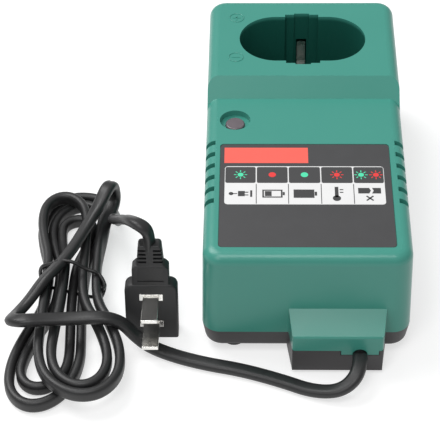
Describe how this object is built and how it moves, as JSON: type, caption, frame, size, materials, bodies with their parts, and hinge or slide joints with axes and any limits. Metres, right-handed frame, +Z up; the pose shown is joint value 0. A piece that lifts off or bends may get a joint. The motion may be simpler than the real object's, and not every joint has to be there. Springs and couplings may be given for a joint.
{
  "type": "battery charger",
  "caption": "Desk charger for stick batteries: two-shell case with a raised battery well, status lens, rating plate, side vents and a mains lead tied in a hank.",
  "frame": {"origin": "middle of the charger's own box in plan, at the level its feet stand on; the lead and plug left out", "axes": "+Z up, -Y the front with the cord boss, +X to the right seen from the front"},
  "size_m": [0.1559, 0.1885, 0.0622],
  "materials": {
    "green_plastic": "moulded, fine satin grain",
    "grey_plastic": "moulded, satin",
    "foot_rubber": "matt",
    "screw_steel": "zinc plated",
    "black_nylon": "satin",
    "contact_nickel": "nickel plated",
    "smoke_lens": "frosted, smoke grey",
    "led_resin": "clear resin",
    "plate_grey": "satin printed film",
    "circuit_board": "solder resist",
    "ferrite": "sintered, matt",
    "yellow_tape": "polyester tape",
    "sink_aluminium": "extruded",
    "chip_black": "moulded epoxy",
    "can_sleeve": "shrunk sleeve",
    "film_block": "epoxy case",
    "fuse_glass": "clear",
    "cord_black": "satin PVC",
    "tie_black": "plastic coated wire",
    "plug_black": "moulded PVC",
    "blade_nickel": "nickel plated brass"
  },
  "bodies": {
    "case": {"top_housing": "green_plastic", "base_housing": "grey_plastic", "rubber_feet": "foot_rubber", "case_screws": "screw_steel", "board_screws": "screw_steel", "contact_block": "black_nylon", "transformer_bobbin": "black_nylon", "cord_clamp": "black_nylon", "led_lens": "smoke_lens", "status_leds": "led_resin", "rating_plate": "plate_grey", "main_board": "circuit_board", "transformer_core": "ferrite", "filter_choke": "ferrite", "transformer_winding": "yellow_tape", "primary_heat_sink": "sink_aluminium", "secondary_heat_sink": "sink_aluminium", "switching_transistor": "chip_black", "rectifier": "chip_black", "controller_chip": "chip_black", "input_capacitor": "can_sleeve", "output_capacitors": "can_sleeve", "film_capacitor": "film_block", "fuse": "fuse_glass", "mains_cord_inside": "cord_black", "mains_cord_lead": "cord_black", "mains_cord_hank": "cord_black", "mains_cord_tail": "cord_black", "hank_tie": "tie_black", "plug_body": "plug_black", "plug_blades": "blade_nickel"},
    "plus_leaf": {"plus_contact": "contact_nickel"},
    "minus_leaf": {"minus_contact": "contact_nickel"},
    "pin": {"temperature_pin": "contact_nickel"}
  },
  "joints": [
    {"name": "plus_contact_flex", "type": "hinge", "parent": "case", "child": "plus_leaf", "pos_m": [0, 0.0746, 0.011], "axis": [-1, 0, 0], "range_deg": [0, 4.5], "stiffness_Nm_per_rad": 0.4},
    {"name": "minus_contact_flex", "type": "hinge", "parent": "case", "child": "minus_leaf", "pos_m": [0, 0.0342, 0.011], "axis": [1, 0, 0], "range_deg": [0, 4.5], "stiffness_Nm_per_rad": 0.4},
    {"name": "temperature_pin_slide", "type": "slide", "parent": "case", "child": "pin", "axis": [0, 0, -1], "range_m": [0, 0.002], "stiffness_N_per_m": 500}
  ]
}
